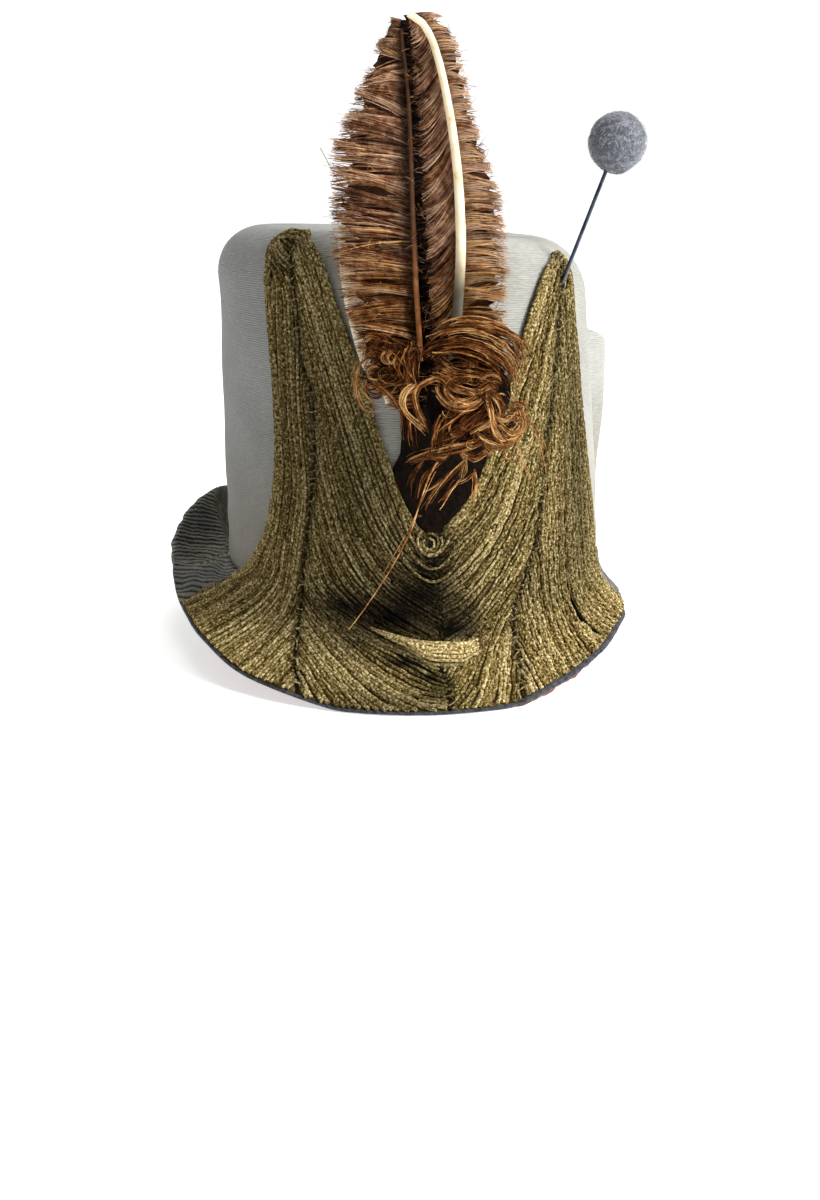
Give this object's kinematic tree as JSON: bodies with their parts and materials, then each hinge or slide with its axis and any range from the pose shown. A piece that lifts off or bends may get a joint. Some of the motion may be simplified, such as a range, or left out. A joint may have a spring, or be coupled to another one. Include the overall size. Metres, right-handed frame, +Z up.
{
  "type": "cloche hat",
  "caption": "Tall-crowned cloche hat with a corded front rising in tongues, a rolled gathered back brim, a feather plume with a curled tuft, and a ball-headed hatpin.",
  "frame": {"origin": "middle of the bounding box, on the surface that the brim rests on", "axes": "+Z up, the front of the hat towards -Y, +X to the right of a viewer who faces the front"},
  "size_m": [0.2088, 0.2408, 0.2519],
  "materials": {
    "crown_cloth": "pale grey cloth with a fine rib",
    "corded_cloth": "olive boucle yarn laid in rows",
    "gathered_cloth": "dark grey-green gathered cloth",
    "slate_binding": "slate grey edge",
    "rose_facing": "dusty rose facing",
    "dark_pad": "very dark felt",
    "cream_backing": "cream stiffened leaf",
    "brown_feather": "soft brown barbs",
    "brown_quill": "brown-orange quill",
    "cream_quill": "cream quill",
    "pin_steel": "dark steel",
    "grey_felt": "grey felt ball"
  },
  "bodies": {
    "root": {"crown": "crown_cloth", "left_outer_panel": "corded_cloth", "left_inner_panel": "corded_cloth", "right_inner_panel": "corded_cloth", "right_outer_panel": "corded_cloth", "back_brim": "gathered_cloth", "brim_binding": "slate_binding", "brim_facing": "rose_facing", "plume_pad": "dark_pad", "plume_backing": "cream_backing", "left_vane": "brown_feather", "left_quill": "brown_quill", "right_vane": "brown_feather", "right_quill": "cream_quill", "tuft": "brown_feather", "hatpin_shank": "pin_steel", "hatpin_ball": "grey_felt"}
  },
  "joints": []
}
